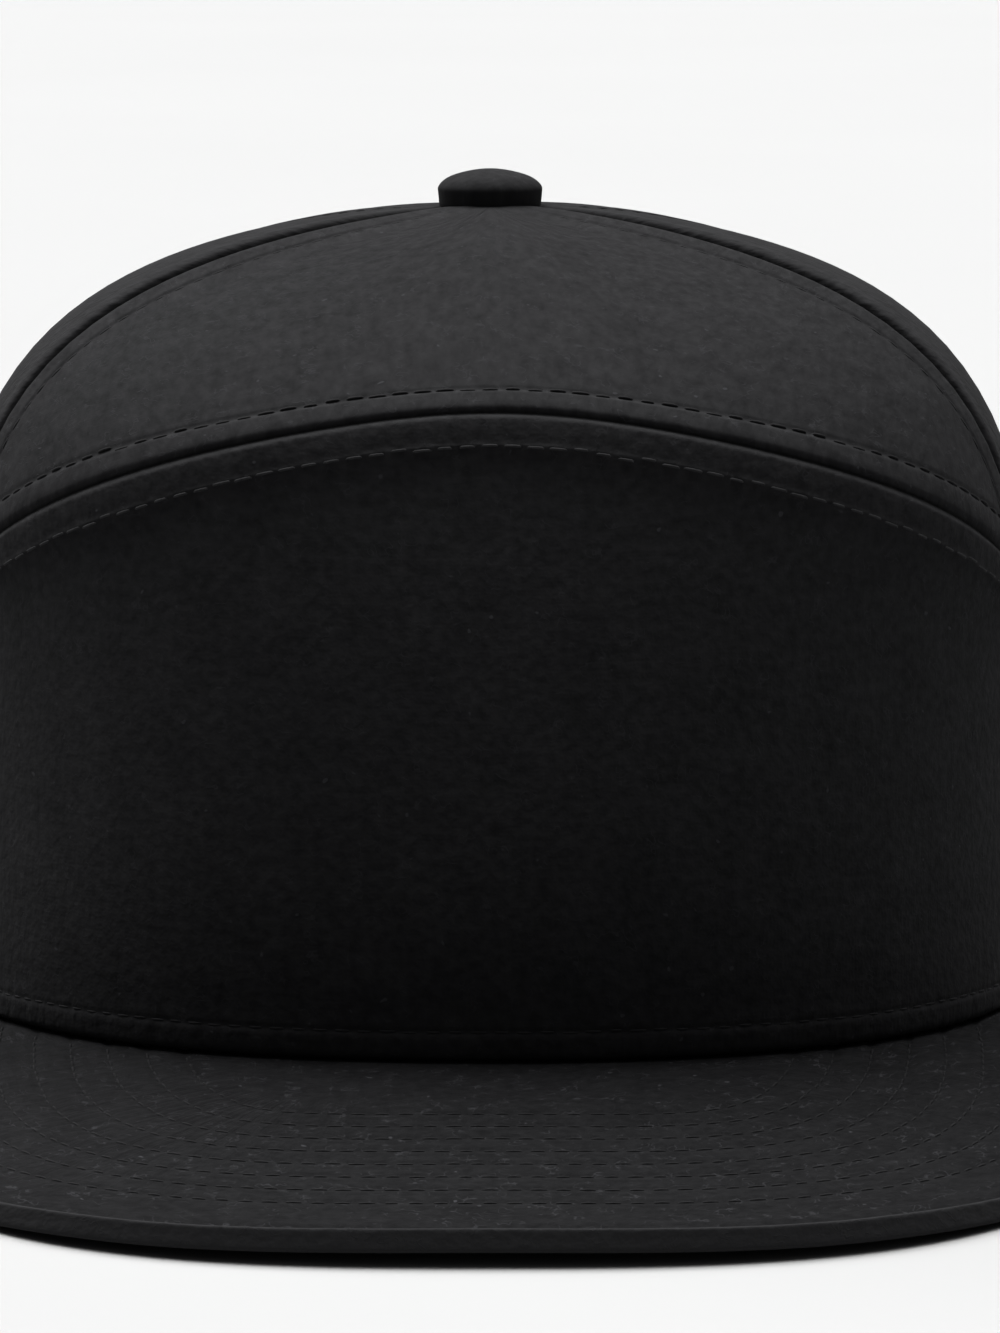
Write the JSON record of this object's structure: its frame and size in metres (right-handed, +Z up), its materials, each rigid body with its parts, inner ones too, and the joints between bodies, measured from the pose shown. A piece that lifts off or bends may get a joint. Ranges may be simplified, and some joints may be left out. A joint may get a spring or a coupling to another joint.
{
  "type": "snapback cap",
  "caption": "Flat-brim snapback cap with a tall arched front panel, covered button, inner sweatband and a rear opening closed by an adjuster strap.",
  "frame": {"origin": "centre of the bounding box on the surface that the cap stands on", "axes": "+Z up, -Y where the brim points, +X to the right of someone who looks at the cap from its front"},
  "size_m": [0.186, 0.2626, 0.1291],
  "materials": {
    "panel_cloth": "matte woven twill",
    "brim_cloth": "matte woven twill over a stiff core, stitched in rows",
    "band_cloth": "matte woven cloth",
    "strap_plastic": "satin moulded plastic"
  },
  "bodies": {
    "root": {"front_panel": "panel_cloth", "top_panel": "panel_cloth", "side_panel_right": "panel_cloth", "side_panel_left": "panel_cloth", "back_panel_right": "panel_cloth", "back_panel_left": "panel_cloth", "button": "panel_cloth", "brim": "brim_cloth", "sweatband": "band_cloth", "snap_strap": "strap_plastic"}
  },
  "joints": []
}
